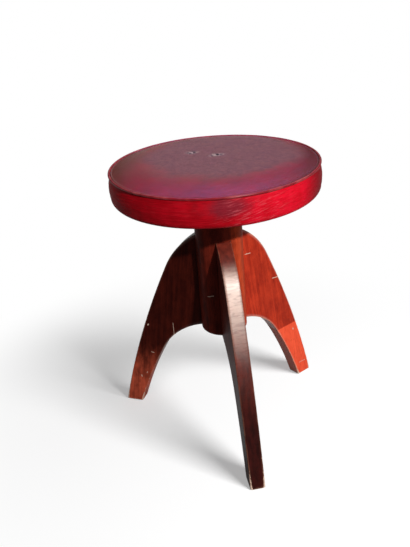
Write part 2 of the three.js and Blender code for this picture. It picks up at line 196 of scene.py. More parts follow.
class Finish:
    """A material and its nodes. add() makes any node that isn't plain arithmetic."""

    def __init__(self, name, holder=None):
        self.material = holder or bpy.data.materials.new(name)
        self.material.use_nodes = True
        self.tree = self.material.node_tree
        self.tree.nodes.clear()

    def add(self, kind, settings=None, inputs=None, out=0):
        """A node of a type, with its settings and the values or wires of its inputs."""
        node = self.tree.nodes.new("ShaderNode" + kind)
        for setting, value in (settings or {}).items():
            setattr(node, setting, value)
        for socket, value in (inputs or {}).items():
            if isinstance(value, Wire):
                self.tree.links.new(value.socket, node.inputs[socket])
            else:
                node.inputs[socket].default_value = value
        return Wire(self.tree, node.outputs[out]) if node.outputs else None

    def mix(self, share, first, second):
        """A colour between two others. Plain colours are three numbers."""
        first, second = ((*c, 1) if isinstance(c, tuple) else c for c in (first, second))
        return self.add("Mix", {"data_type": "RGBA"}, {0: share, 6: first, 7: second}, out=2)

    def place(self):
        """The place on a piece, in metres from the frame's origin."""
        return self.add("TexCoord", out=3)

    def stretched(self, place, scale):
        """A place times a scale, which is one number or one for each axis."""
        scale = scale if isinstance(scale, tuple) else (scale,) * 3
        return self.add("Mapping", {"vector_type": "POINT"}, {"Vector": place, "Scale": scale})

    def noise(self, place, scale, detail=2.0, roughness=0.5, warp=0.0):
        """Smooth noise about 0.5, with its waves to the metre."""
        stretched = self.stretched(place, scale)
        inputs = {"Vector": stretched, "Scale": 1, "Detail": detail, "Roughness": roughness}
        return self.add("TexNoise", {}, {**inputs, "Distortion": warp})

    def cells(self, place, scale):
        """Distance from the nearest border in a pattern of cells, with its cells to the metre."""
        inputs = {"Vector": self.stretched(place, scale), "Scale": 1, "Randomness": 1}
        return self.add("TexVoronoi", {"feature": "DISTANCE_TO_EDGE"}, inputs)

    def vector(self, operation, *values):
        """A sum or product of vectors, or the number that a dot product, distance or length gives."""
        out = 1 if operation in ("DOT_PRODUCT", "DISTANCE", "LENGTH") else 0
        return self.add("VectorMath", {"operation": operation}, dict(enumerate(values)), out=out)

    def rise(self, value, low, high):
        """0 below low, 1 above high, and smooth between them."""
        inputs = {"Value": value, "From Min": low, "From Max": high}
        return self.add("MapRange", {"interpolation_type": "SMOOTHSTEP"}, inputs)

    def done(self, height=None, **inputs):
        """Ends the finish in a Principled shader. The height is in millimetres."""
        named = {key.replace("_", " "): value for key, value in inputs.items()}
        for key, value in named.items():
            if isinstance(value, tuple) and len(value) == 3:
                named[key] = (*value, 1)
        if height is not None:
            named["Normal"] = self.add("Bump", {}, {"Height": height, "Strength": 1, "Distance": 0.001})
        shader = self.add("BsdfPrincipled", {}, named)
        self.add("OutputMaterial", {}, {"Surface": shader})
        return self.material


def scratch(f, place, start, end, width):
    """1 within a narrow dash between two points of the frame, 0 beyond its width: the distance from
    p to the segment is |p - a - h (b - a)| with h = clamp((p - a) . (b - a) / |b - a|^2)."""
    start, along = np.array(start), np.array(end) - np.array(start)
    offset = f.vector("SUBTRACT", place, tuple(start))
    reach = f.vector("DOT_PRODUCT", offset, tuple(along / (along @ along)))
    held = reach.math("MINIMUM", reach.math("MAXIMUM", reach, 0.0), 1.0)
    nearest = f.add("VectorMath", {"operation": "SCALE"}, {0: tuple(along), "Scale": held})
    return 1 - f.rise(f.vector("DISTANCE", offset, nearest), 0.35 * width, width)


def mahogany(name, stain_and_shade, gloss, wear, marks, beyond, painted_highlight=0.0):
    """Stained and varnished hardwood. The two colours given carry the wood's colour, and on the darker
    pieces painted shade as well. The attribute grain is the place in the plank, with its third axis
    along
    the fibres. worn is 1 on an eased edge and sawn is 1 across the plank's edges. Marks are scratches:
    their two ends and width. Beyond a plane the colours are other ones, which paint light or shade on
    one
    part of a piece: its direction, its distance, the width of change, and those colours.
    painted_highlight is the share of a pale painted highlight on a sawn edge below its shoulder, broken
    by crosswise ripples."""
    f = Finish(name)
    # On the front leg, the left leg and the column these colours are darkened as painted shade.
    deep, fair = stain_and_shade
    grain = f.add("Attribute", {"attribute_name": "grain"}, out=1)
    worn = f.add("Attribute", {"attribute_name": "worn"}, out=2)
    sawn = f.add("Attribute", {"attribute_name": "sawn"}, out=2)
    place = f.place()
    drift = f.noise(grain, (17, 17, 1.2), 2)
    rings = drift.math("SINE", drift * 75) * 0.5 + 0.5
    streaks = f.noise(grain, (170, 170, 5), 3, 0.6)
    fibres = f.noise(grain, (560, 560, 14), 4, 0.65)
    pores = f.rise(f.noise(grain, (1500, 1500, 70), 1), 0.62, 0.72)
    blotches = f.noise(grain, (60, 60, 34), 4, 0.65)
    tone = f.rise(rings * 0.1 + streaks * 0.4 + fibres * 0.35 + blotches * 0.65, 0.48, 1.06)
    colour = f.mix(tone, deep, fair)
    # Beyond the plane a second pair of colours paints light or shade: a shaded foot on the front leg,
    # lit feet on the right and left legs, and the lit front right side of the column.
    direction, change, width, far_deep, far_fair = beyond
    reach = f.vector("DOT_PRODUCT", place, direction)
    far = f.rise(reach + (blotches - 0.5) * width, change - width, change + width)
    colour = f.mix(far, colour, f.mix(tone, far_deep, far_fair))
    colour = f.mix(pores * 0.55, colour, tuple(0.3 * c for c in deep))
    colour = f.mix(sawn * max(0, 1.2 * wear - 0.7), colour, (0.84, 0.44, 0.36))
    rubbed = f.rise(worn + f.noise(grain, (90, 90, 40), 3) * 0.8, 0.85, 1.35)
    colour = f.mix(rubbed * 0.55 * wear, colour, (0.68, 0.32, 0.20))
    brittle = worn + f.noise(grain, (260, 260, 110), 4, 0.6) * 1.2
    chipped = f.rise(brittle, 1.52 - 0.1 * wear, 1.62 - 0.1 * wear)
    for start, end, width in marks:
        chipped = chipped.math("MAXIMUM", chipped, scratch(f, place, start, end, width))
    colour = f.mix(chipped * 0.85, colour, (0.68, 0.50, 0.40))
    ripples = f.noise(grain, (42, 42, 250), 3, 0.55, 0.8)
    # A pale painted highlight on the sawn edge between the shoulder and the lower leg, where light
    # glances off the varnish.
    if painted_highlight:
        height = f.add("SeparateXYZ", {}, {0: place}, out=2)
        glare_share = sawn * f.rise(height, 0.19, 0.32) * (1 - f.rise(height, 0.316, 0.348)) * painted_highlight
        glare_share = glare_share * (f.rise(ripples, 0.34, 0.56) * 0.4 + 0.6) * (1 - chipped)
        colour = f.mix(glare_share, colour, (0.80, 0.57, 0.46))
    waves = f.noise(grain, (34, 34, 10), 2)
    height = ripples * sawn * 0.26 + waves * 0.7 + fibres * 0.02 - pores * 0.025 - chipped * 0.12
    roughness = 0.34 + blotches * 0.08 + chipped * 0.35 + rubbed * 0.1
    return f.done(
        height,
        Base_Color=colour,
        Roughness=roughness,
        Specular_IOR_Level=gloss,
        Coat_Weight=sawn * (1 - chipped) * (1 - far) * (1 - far),
        Coat_Roughness=0.36,
    )


def bowed(start, end, bow, steps):
    """Points of an arc from start to end that stands out by the bow to the left of its chord c. Its
    radius is c^2 / 8 bow + bow / 2."""
    start, end = np.array(start, float), np.array(end, float)
    chord = np.linalg.norm(end - start)
    along = (end - start) / chord
    left = np.array([-along[1], along[0]])
    radius = chord**2 / (8 * bow) + bow / 2
    half = math.asin(chord / 2 / radius)
    angle = np.linspace(-half, half, steps + 1)
    return (start + np.outer(chord / 2 + radius * np.sin(angle), along)
            + np.outer(radius * (np.cos(angle) - math.cos(half)), left))


def along_curve(points, shares):
    """The points at given shares of a polyline's length."""
    length = np.concatenate([[0], np.cumsum(np.linalg.norm(np.diff(points, axis=0), axis=1))])
    return np.stack([np.interp(shares * length[-1], length, points[:, k]) for k in range(2)], 1)


def outward(curve, side):
    """Unit normals of a curve, to its right for side 1 and its left for side -1."""
    slope = np.gradient(curve, axis=0)
    slope /= np.linalg.norm(slope, axis=1)[:, None]
    return side * np.stack([slope[:, 1], -slope[:, 0]], 1)


def leg_grid(shares, round_radius, grown, flat_columns, face_columns):
    """A leg pointing along +X. Row i is a rounded rectangle round the plank between the outer edge
    and the inner edge at share i of their lengths. With n the edge's outward normal and q the
    round's radius, its corners are edge - q (1 - cos a) n, at q sin a beyond the flat part of the
    thickness. Also gives each point's distance from the nearest corner and whether it is on an edge."""
    outer = np.vstack([bowed((leg_root, leg_top), shoulder, shoulder_bow, 60),
                       bowed(shoulder, foot_outer, outer_bow, 90)[1:]])[::-1]
    inner = np.vstack([bowed(foot_inner, arch, -inner_bow, 60),
                       bowed(arch, (leg_root, leg_arch_root), -arch_bow, 90)[1:]])
    outer, inner = along_curve(outer, shares), along_curve(inner, shares)
    out_normal, in_normal = outward(outer, 1), outward(inner, -1)
    outer, inner = outer + grown * out_normal, inner + grown * in_normal
    half = leg_thickness / 2 + grown
    q = round_radius[:, None]
    turn = np.radians(np.linspace(0, 90, 6))[None, :]
    flat = np.linspace(-1, 1, flat_columns + 2)[None, 1:-1]
    across = np.linspace(0, 1, face_columns + 2)[None, 1:-1]

    def corner(edge, normal):
        inset = q * (1 - np.cos(turn))
        return edge[:, None, :] - inset[..., None] * normal[:, None, :], half - q + q * np.sin(turn)

    def face(first, second):
        spot = first[:, None, :] + across[..., None] * (second - first)[:, None, :]
        span = np.linalg.norm(second - first, axis=1)[:, None]
        return spot, np.minimum(across, 1 - across) * span

    out_corner, out_lift = corner(outer, out_normal)
    in_corner, in_lift = corner(inner, in_normal)
    side, side_away = face(out_corner[:, -1], in_corner[:, -1])
    on_outer = np.repeat(outer[:, None, :], flat_columns, 1)
    on_inner = np.repeat(inner[:, None, :], flat_columns, 1)
    flat_lift = flat * (half - q)
    flat_away = (1 - abs(flat)) * (half - q)
    none, level = np.zeros_like(out_lift), half * np.ones_like(side_away)
    parts = [
        (on_outer, flat_lift, flat_away, 1),
        (out_corner, out_lift, none, 0.5),
        (side, level, side_away, 0),
        (in_corner[:, ::-1], in_lift[:, ::-1], none, 0.5),
        (on_inner, -flat_lift, flat_away, 1),
        (in_corner, -in_lift, none, 0.5),
        (side[:, ::-1], -level, side_away[:, ::-1], 0),
        (out_corner[:, ::-1], -out_lift[:, ::-1], none, 0.5),
    ]
    spot, lift, away = (np.concatenate([part[k] for part in parts], axis=1) for k in range(3))
    edge = np.concatenate([part[3] * np.ones_like(part[2]) for part in parts], axis=1)
    grid = np.stack([spot[..., 0], lift, spot[..., 1]], -1)
    return grid, away, edge


def swung(points, degrees):
    """Points turned about the Z axis."""
    c, s = math.cos(math.radians(degrees)), math.sin(math.radians(degrees))
    return points @ np.array([[c, s, 0], [-s, c, 0], [0, 0, 1]])


def capped(grid):
    """A grid with both end rows drawn in to their middles, which closes it."""
    low, high = grid[:1], grid[-1:]
    low_middle = low.mean(axis=1, keepdims=True) + 0 * low
    high_middle = high.mean(axis=1, keepdims=True) + 0 * high
    low_ring, high_ring = (low + low_middle) / 2, (high + high_middle) / 2
    return np.concatenate([low_middle, low_ring, grid, high_ring, high_middle])


def radial_bar(radius, first, last, height, angle, columns=24):
    """A round bar that points away from the column's axis at a height."""
    bar = turned([(0, first), (radius, first), (radius, last), (0, last)], columns)
    return swung(bar[..., [2, 0, 1]] + [0, 0, height], angle)


dowel_radius, dowel_first, dowel_last = 0.004, 0.0205, 0.0545
dowel_heights = np.linspace(leg_arch_root + 0.03, leg_top - 0.03, 3)


def dowel_holes(angles):
    """The holes that the dowels are glued into, as one mesh to cut with."""
    size = dowel_radius + seated_gap, dowel_first - seated_gap, dowel_last + seated_gap
    return surface("dowel_holes", [
        radial_bar(*size, height, angle) for angle in angles for height in dowel_heights
    ])


# Painted shade: the front leg's lower part is darker.
painted_shade_front_foot = ((0, 0, -1), -0.18, 0.09, (0.011, 0.0022, 0.0018), (0.050, 0.0062, 0.0048))
# Painted light: the right leg's colour is paler below a sharp line at 131 mm, as a lit patch.
painted_light_right_foot = ((0, 0, -1), -0.1307, 0.0012, (0.78, 0.075, 0.03), (0.98, 0.12, 0.05))
# Painted light: the left leg grows paler and browner towards its foot, as lit there.
painted_light_left_foot = ((0, 0, -1), -0.095, 0.050, (0.22, 0.036, 0.019), (0.74, 0.125, 0.062))
leg_finishes = {
    "leg_front": dict(
        # The front leg's colours are darkened as painted shade, and its sawn edge has a painted
        # highlight.
        stain_and_shade=((0.06, 0.006, 0.0035), (0.20, 0.024, 0.012)),
        gloss=0.07, wear=0.25, beyond=painted_shade_front_foot, marks=(), painted_highlight=0.8,
    ),
    "leg_right": dict(
        stain_and_shade=((0.30, 0.017, 0.0065), (0.60, 0.048, 0.017)),
        gloss=0.08, wear=1.0, beyond=painted_light_right_foot,
        marks=(
            ((0.0461, 0.0122, 0.3176), (0.0564, 0.0181, 0.3161), 0.0010),
            ((0.1024, 0.0447, 0.2469), (0.1149, 0.0519, 0.2450), 0.0011),
            ((0.1480, 0.0710, 0.1175), (0.1486, 0.0713, 0.1150), 0.0018),
            ((0.1632, 0.0798, 0.0287), (0.1773, 0.0879, 0.0276), 0.0009),
        ),
    ),
    "leg_left": dict(
        # The left leg's colours are nearly black: painted shade.
        stain_and_shade=((0.023, 0.0024, 0.0016), (0.074, 0.0090, 0.0050)),
        gloss=0.03, wear=0.5, beyond=painted_light_left_foot,
        marks=(
            ((-0.1322, 0.0619, 0.1805), (-0.1330, 0.0624, 0.1790), 0.0018),
            ((-0.0885, 0.0367, 0.1900), (-0.0885, 0.0367, 0.1658), 0.0007),
            ((-0.1323, 0.0619, 0.1201), (-0.1282, 0.0596, 0.1190), 0.0010),
            ((-0.1565, 0.0759, 0.0622), (-0.1558, 0.0755, 0.0600), 0.0018),
            ((-0.1448, 0.0691, 0.0722), (-0.1455, 0.0695, 0.0700), 0.0012),
        ),
    ),
}
rows = np.concatenate([[0, 0.004, 0.009], np.linspace(0.016, 1, 190)])
grain_tilt = math.radians(8)
planks = {}
for number, (leg, angle) in enumerate(leg_angles.items()):
    ragged = np.random.default_rng(20 + number).normal(size=12)
    waves = sum(
        size * np.sin(2 * math.pi * (k + 1) * 1.7 * rows + 3 * size) for k, size in enumerate(ragged)
    ) / 12
    rounding = 0.0011 + 0.0004 * waves + 0.0014 * np.exp(-rows / 0.03)
    grid, away, edge = leg_grid(rows, rounding, 0, 7, 30)
    sole = grid[0].mean(axis=0)
    grid[0] = sole + (grid[0] - sole) * [0.93, 0.9, 1]
    grid[..., 2] = np.maximum(grid[..., 2], 0)
    foot_wear = np.exp(-rows / 0.08)[:, None]
    worn = np.exp(-away / (0.0011 + 0.0022 * foot_wear)) * (0.72 + 0.45 * foot_wear)
    worn = np.maximum(worn, 1.15 * np.exp(-grid[..., 2] / 0.005))
    pad = [(1, 1), (0, 0)]
    worn, edge = (np.pad(np.pad(value, pad, mode="edge"), pad, mode="edge") for value in (worn, edge))
    grid = capped(grid)
    c, s = math.cos(grain_tilt), math.sin(grain_tilt)
    grain = np.stack([
        grid[..., 0] * c + grid[..., 2] * s + 0.9 * number,
        grid[..., 1] + 0.37 * number,
        grid[..., 2] * c - grid[..., 0] * s + 1.3 * number,
    ], -1)
    painted = {"grain": [grain], "worn": [worn], "sawn": [edge]}
    made = surface(leg + "_plank", [swung(grid, angle)], painted, sharp=50)
    cut(made, [dowel_holes([angle])])
    planks[leg] = finished(made, "stand", mahogany("mahogany_" + leg, **leg_finishes[leg]), leg)


# Column. A hardwood post turned to a plain round, with both rims eased. It is bored from the top for
# the screw and its nut, and cut with three upright housings that the legs are glued into. It has the
# legs' varnish, and its grain runs up the post. Its colour is darkened as painted shade, with painted
# light on its front right side.

column_radius = 0.040
column_bottom, column_top = 0.192, 0.424
rim_round = 0.004
bore_radius, bore_bottom = 0.0173, 0.2484
flange_seat_radius, flange_seat_depth = 0.0323, 0.0053


def quarter_round(centre, radius, first, last, steps):
    """Points [radius, height] of an arc about a centre, from one direction to another in degrees:
    centre + radius (cos a, sin a)."""
    angle = np.radians(np.linspace(first, last, steps + 1))
    return np.array(centre) + radius * np.stack([np.cos(angle), np.sin(angle)], 1)


def places(made):
    """The points of a mesh as an array of three columns."""
    points = np.zeros(len(made.data.vertices) * 3, np.float32)
    made.data.vertices.foreach_get("co", points)
    return points.reshape(-1, 3).astype(float)


column_profile = np.vstack([
    [(0, column_bottom)],
    quarter_round((column_radius - rim_round, column_bottom + rim_round), rim_round, -90, 0, 8),
    [(column_radius, z) for z in np.linspace(column_bottom + 0.01, column_top - 0.01, 24)],
    quarter_round((column_radius - rim_round, column_top - rim_round), rim_round, 0, 90, 8),
    [(flange_seat_radius, column_top), (flange_seat_radius, column_top - flange_seat_depth)],
    [(bore_radius, column_top - flange_seat_depth), (bore_radius, bore_bottom), (0, bore_bottom)],
])
column = surface("column_post", [turned(column_profile, 128)])
housing_grid = leg_grid(np.linspace(0, 1, 60), np.full(60, 0.0012), seated_gap, 2, 6)[0]
housing_grid[-1, :, 0] -= seated_gap
housings = [surface("housing", [swung(capped(housing_grid), angle)]) for angle in leg_angles.values()]
cut(column, [*housings, dowel_holes(leg_angles.values())])
spots = places(column)
reach = np.hypot(spots[:, 0], spots[:, 1])
rim = np.minimum(abs(spots[:, 2] - column_top), abs(spots[:, 2] - column_bottom))
paint(column, "grain", spots + [2.9, 1.7, 4.1])
paint(column, "worn", 0.8 * np.exp(-rim / 0.002) * (reach > 0.034))
paint(column, "sawn", 0 * reach)
column_finish = mahogany(
    "mahogany_column",
    # Painted shade: the post's colours are dark.
    stain_and_shade=((0.05, 0.005, 0.003), (0.20, 0.022, 0.011)),
    gloss=0.03,
    wear=0.3,
    marks=[((-0.0302, -0.0263, 0.2669), (-0.0215, -0.0337, 0.2702), 0.0010)],
    # Painted light: paler beyond a plane on the front right side, where light falls.
    beyond=((0.9, -0.43, 0), 0.030, 0.004, (0.30, 0.030, 0.010), (0.62, 0.075, 0.024)),
)
finished(column, "stand", column_finish, "column")


# Dowels. Round beech pins, three for each leg, cut off square and left bare. They are glued across the
# joint between leg and column.

def pale_wood(name, deep, fair, axis_scale):
    """Bare wood with fine fibres along one axis of the frame."""
    f = Finish(name)
    place = f.place()
    fibres = f.noise(place, axis_scale, 4, 0.6)
    flecks = f.rise(f.noise(place, tuple(3 * s for s in axis_scale), 1), 0.6, 0.72)
    colour = f.mix(fibres, deep, fair)
    colour = f.mix(flecks * 0.4, colour, tuple(0.6 * c for c in deep))
    return f.done(fibres * 0.08, Base_Color=colour, Roughness=0.62 + fibres * 0.15)


beech = pale_wood("bare_beech", (0.42, 0.25, 0.13), (0.66, 0.46, 0.27), (400, 400, 60))
for leg in leg_angles:
    for number in (1, 2, 3):
        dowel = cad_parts[f"{leg}_dowel_{number}"]
        dowel.data.materials.clear()
        dowel.data.materials.append(beech)


# Nut. A flanged iron casting with the screw's female thread, blacked. It is let into the top of the
# column and held by three wood screws through its flange.

def iron(name, worn_share):
    """Black japanned iron with a slightly rough cast skin and rubbed high spots."""
    f = Finish(name)
    place = f.place()
    skin = f.noise(place, 700, 4, 0.6)
    patches = f.noise(place, 60, 3)
    rubbed = f.rise(patches + skin * 0.35, 0.78 - worn_share, 0.9)
    colour = f.mix(rubbed, (0.018, 0.017, 0.017), (0.1, 0.085, 0.075))
    rust = f.rise(f.noise(place, 150, 4, 0.7), 0.66, 0.76)
    colour = f.mix(rust * 0.6, colour, (0.13, 0.045, 0.018))
    return f.done(
        skin * 0.09 + patches * 0.1,
        Base_Color=colour,
        Metallic=rubbed * 0.5,
        Roughness=0.48 + skin * 0.2 + rust * 0.2 - rubbed * 0.12,
    )


def steel(name, polish):
    """Bright turned steel with fine rings, a film of old oil and a few rust specks."""
    f = Finish(name)
    place = f.place()
    rings = f.noise(place, (90, 90, 2600), 2)
    film = f.noise(place, 120, 3)
    specks = f.rise(f.noise(place, 420, 3, 0.7), 0.66, 0.74)
    colour = f.mix(f.rise(film, 0.35, 0.75), (0.36, 0.34, 0.31), (0.62, 0.61, 0.59))
    colour = f.mix(specks * 0.7, colour, (0.16, 0.07, 0.03))
    return f.done(
        rings * 0.03 - specks * 0.03,
        Base_Color=colour,
        Metallic=1 - specks * 0.7,
        Roughness=polish + film * 0.12 + specks * 0.3,
    )


def smoothed_copy(name, node):
    """A copy of a CAD node with its loose triangles joined, smooth except at its real edges."""
    points = places(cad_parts[node]).astype(np.float32)
    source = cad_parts[node].data
    source.calc_loop_triangles()
    corners = np.zeros(len(source.loop_triangles) * 3, np.int32)
    source.loop_triangles.foreach_get("vertices", corners)
    place = np.round(points * 1e6).astype(np.int64)
    _, kept, merged = np.unique(place, axis=0, return_index=True, return_inverse=True)
    triangles = merged.ravel()[corners].reshape(-1, 3)
    whole = (triangles != np.roll(triangles, -1, axis=1)).all(axis=1)
    mesh = bpy.data.meshes.new(name)
    mesh.from_pydata(points[kept], [], triangles[whole])
    mesh.validate()
    mesh.shade_smooth()
    mesh.set_sharp_from_angle(angle=math.radians(32))
    return added(name, mesh)


black_iron = iron("japanned_iron", 0.02)
finished(smoothed_copy("nut_casting", "spindle_nut"), "stand", black_iron, "spindle_nut")


# Wood screws. Countersunk, slotted steel screws: three through the nut's flange into the column, and
# four through the plate into the seat board.

screw_radius, head_radius, head_height = 0.0022, 0.0045, 0.0026
slot_width, slot_depth = 0.0011, 0.0011


def wood_screw(name, length):
    """A screw pointing down with its head at height 0. The thread is a wave on the shank's radius,
    r + d cos(2 pi (z / pitch - a / 2 pi)), that fades out below the head and at the point."""
    depths = np.linspace(-length, -head_height, 90)
    angle = round_angles(28)
    taper = np.clip((depths + length) / 0.006, 0.04, 1)
    fade = np.clip((-head_height - 0.004 - depths) / 0.002, 0, 1)
    fade = fade * np.clip((depths + length) / 0.002, 0, 1)
    wave = np.cos(2 * math.pi * depths[:, None] / 0.0018 - angle[None, :])
    radius = screw_radius * 0.86 * taper[:, None] + 0.0003 * fade[:, None] * wave
    shank = polar(radius, angle, depths[:, None])
    tip = shank[:1] * [0, 0, 1]
    rim = head_radius - 0.0002
    head = turned([(rim, -0.0003), (head_radius, -0.0001), (rim, 0), (0, 0)], 28)
    made = surface(name, [np.concatenate([tip, shank, head])], sharp=40)
    box = np.array([(-1, -1), (1, -1), (1, 1), (-1, 1)]) * [slot_width / 2, 0.006]
    slot = np.stack([np.column_stack([box, np.full(4, z)]) for z in (-slot_depth, 0.001)])
    middle = slot.mean(axis=1, keepdims=True) + 0 * slot
    cut(made, [surface("slot", [np.concatenate([middle[:1], slot, middle[1:]])])])
    return made


screw_steel = steel("screw_steel", 0.3)


def placed_copy(pattern, name, body, node, flip, radius, height, angle, slot_turn):
    """A copy of a screw, turned over if it goes in from below, with its slot at its own angle."""
    made = added(name, pattern.data.copy())
    turned_over = Matrix.Rotation(math.radians(flip), 4, "X")
    slotted = Matrix.Rotation(math.radians(slot_turn), 4, "Z")
    placed = Matrix.Rotation(math.radians(angle), 4, "Z") @ Matrix.Translation((radius, 0, height))
    made.data.transform(placed @ turned_over @ slotted)
    finished(made, body, screw_steel, node)


short_screw = wood_screw("short_screw", 0.0185)
long_screw = wood_screw("long_screw", 0.0235)
nut_screw_circle, nut_screw_height = 0.025, 0.42385
plate_screw_circle, plate_screw_height = 0.05, 0.43965
for number, angles in enumerate([(-30, 12), (90, 75), (210, 140)], 1):
    names = f"flange_screw_{number}", "stand", f"nut_screw_{number}"
    placed_copy(long_screw, *names, 0, nut_screw_circle, nut_screw_height, *angles)
for number, angles in enumerate([(45, 20), (135, 100), (225, 63), (315, 150)], 1):
    names = f"seat_screw_{number}", "seat", f"plate_screw_{number}"
    placed_copy(short_screw, *names, 180, plate_screw_circle, plate_screw_height, *angles)
bpy.data.objects.remove(short_screw)
bpy.data.objects.remove(long_screw)


# Stop washer. A turned iron ring, blacked like the nut. It lies loose on the screw's foot, rises with
# the seat, and meets the nut at full height.

washer_profile = np.vstack([
    quarter_round((0.0155, 0.2582), 0.0005, -90, 0, 3),
    quarter_round((0.0155, 0.2632), 0.0005, 0, 90, 3),
    quarter_round((0.0078, 0.2632), 0.0005, 90, 180, 3),
    quarter_round((0.0078, 0.2582), 0.0005, 180, 270, 3),
])
washer = surface("washer_ring", [turned(np.vstack([washer_profile, washer_profile[:1]]), 72)])
finished(washer, "stop", black_iron, "stop_washer")


# Screw. A steel bar with a coarse square thread, a plain spigot that is pinned into the plate's boss
# and a turned down foot, riveted over below the washer.

thread_minor, thread_major, thread_pitch = 0.010, 0.012, 0.008
thread_low, thread_high = 0.2640, 0.4242


def threaded(columns):
    """The threaded part as a grid. Row j starts at height z_j and climbs by the pitch p in a turn:
    z = z_j + p a / 2 pi, held to the ends of the thread, with the radius that the thread's section has
    at z - p a / 2 pi. The row that starts one pitch higher begins where this one ends."""
    edges = np.array([-2.5, -1.9, -1.5, -0.75, 0.75, 1.5, 1.9, 2.5, 3.3, 4.1, 4.8]) / 1000
    shares = np.array([0, 0.15, 1, 1, 1, 1, 0.15, 0, 0, 0, 0])
    radii = thread_minor + shares * (thread_major - thread_minor)
    turns = np.arange(round(thread_low / thread_pitch) - 3, round(thread_high / thread_pitch) + 3)
    start = (turns[:, None] * thread_pitch + edges[None, :]).ravel()
    angle = 2 * math.pi * np.arange(columns + 1) / columns
    climb = thread_pitch * angle[None, :] / (2 * math.pi)
    height = np.clip(start[:, None] + climb, thread_low, thread_high)
    across = np.interp(height - climb, edges, radii, period=thread_pitch)
    grid = polar(across, angle, height)
    return np.concatenate([0 * grid[:1] + [0, 0, thread_low], grid, 0 * grid[:1] + [0, 0, thread_high]])


def ring_closed(grid):
    """A turned grid with its first column repeated at the end."""
    return np.concatenate([grid, grid[:, :1]], axis=1)


foot_profile = [
    (0, 0.2544), (0.008, 0.2544), (0.0095, 0.2559), (0.0095, 0.2574), (0.007, 0.2574), (0.007, 0.2641),
    (0, 0.2641),
]
spigot_profile = [(0, 0.4240), (0.0095, 0.4240), (0.0095, 0.4440), (0.009, 0.4445), (0, 0.4445)]
bar = surface(
    "raising_screw",
    [threaded(72), ring_closed(turned(foot_profile, 72)), ring_closed(turned(spigot_profile, 72))],
    closed=False,
)
finished(bar, "seat", steel("raising_steel", 0.24), "spindle")
finished(smoothed_copy("cross_pin", "spindle_pin"), "seat", screw_steel, "spindle_pin")


# Plate. A blacked iron disc with a boss, held up under the seat board by four wood screws. The
# screw's spigot sits in the boss and is locked there by the cross pin.

finished(smoothed_copy("plate_casting", "seat_plate"), "seat", iron("plate_iron", 0.06), "seat_plate")


# Board. A round birch board, left bare. Its lower edge is rounded, and the leather is drawn round it
# and tacked to its underside.

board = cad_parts["seat_board"]
board.data.materials.clear()
birch = pale_wood("bare_birch", (0.48, 0.33, 0.18), (0.7, 0.55, 0.36), (380, 50, 380))
board.data.materials.append(birch)


# Stuffing. Hair and wadding piled on the board, pulled down hard at the seam and nearly flat in the
# middle. It starts a little small, swells as cloth under pressure, and is held in by its leather.

board_radius, pad_floor = 0.167, 0.4631
corner_radius, corner_height = 0.008, 0.4528
wall_top = 0.4869
seam_radius, flat_radius, crown_rise = 0.1632, 0.065, 0.009
pad_shoulder_radius = 0.148
pad_seam_height, leather_gap, leather_thick = 0.4891, 0.0003, 0.0014


def crown(radius):
    """Rise of the stuffing above the seam, 9 mm (1 - t^2.6) with t from 0 at radius 65 mm to 1 at the
    seam."""
    share = np.clip((radius - flat_radius) / (seam_radius - flat_radius), 0, 1)
    return crown_rise * (1 - share**2.6)


def wall(share, offset):
    """Radius of the seat's side at a share s of its height: it bulges by 1.4 mm sin(pi min(1, 1.1 s))
    and is drawn in by 1.6 mm s^3 towards the seam."""
    bulge = 0.0014 * np.sin(math.pi * np.minimum(1, 1.1 * share))
    return board_radius + offset + bulge - 0.0016 * share**3


def held_in(points):
    """Points moved to lie inside the leather: below the crown and a rounded shoulder that drops as
    t^2 from radius 148 mm to the seam, and within the side."""
    radius = np.hypot(points[:, 0], points[:, 1])
    height = np.clip(points[:, 2], pad_floor, None)
    share = np.clip((height - corner_height) / (wall_top - corner_height), 0, 1)
    inside = np.minimum(radius, wall(share, 0) - 0.0005)
    reach = (inside - pad_shoulder_radius) / (0.1635 - pad_shoulder_radius)
    shoulder_share = np.clip(reach, 0, 1)
    ceiling = pad_seam_height - 0.0002 + crown(inside) - 0.0052 * shoulder_share**2
    scale = inside / np.maximum(radius, 1e-6)
    return np.stack([points[:, 0] * scale, points[:, 1] * scale, np.minimum(height, ceiling)], 1)


shrink = 0.0025
pad_radii = np.linspace(0, pad_shoulder_radius, 16)
pad_profile = np.vstack([
    [(0, pad_floor), (0.08, pad_floor), (board_radius - shrink, pad_floor)],
    [(board_radius - shrink, z) for z in (0.468, 0.473, 0.4775)],
    quarter_round((0.1575, 0.4775), 0.007, 10, 80, 5),
    np.stack([pad_radii, pad_seam_height - shrink + crown(pad_radii)], 1)[::-1],
])
pad = surface("seat_stuffing", [turned(pad_profile, 90)], sharp=180)
remesh = pad.modifiers.new("even", "REMESH")
remesh.mode, remesh.voxel_size = "VOXEL", 0.005
settled(pad)
start = places(pad)
radius = np.hypot(start[:, 0], start[:, 1])
pins = pad.vertex_groups.new(name="held")
held = np.flatnonzero((start[:, 2] < pad_floor + 0.002) | ((radius > 0.158) & (start[:, 2] > 0.478)))
pins.add([int(number) for number in held], 1, "REPLACE")
cloth = pad.modifiers.new("swell", "CLOTH")
cloth.settings.use_pressure = True
cloth.settings.uniform_pressure_force = 4
cloth.settings.effector_weights.gravity = 0
cloth.settings.vertex_group_mass = "held"
cloth.point_cache.frame_end = 20
for number in range(1, 21):
    bpy.context.scene.frame_set(number)
swollen = pad.evaluated_get(bpy.context.evaluated_depsgraph_get())
moved = places(swollen) - start
pad.modifiers.clear()
bpy.context.scene.frame_set(1)
length = np.linalg.norm(moved, axis=1)[:, None]
moved *= np.minimum(1, 0.006 / np.maximum(length, 1e-9))
pad.data.vertices.foreach_set("co", held_in(start + moved).astype(np.float32).ravel())
pad.data.update()
pad.data.shade_smooth()
pad.vertex_groups.clear()
smooth = pad.modifiers.new("smooth", "SUBSURF")
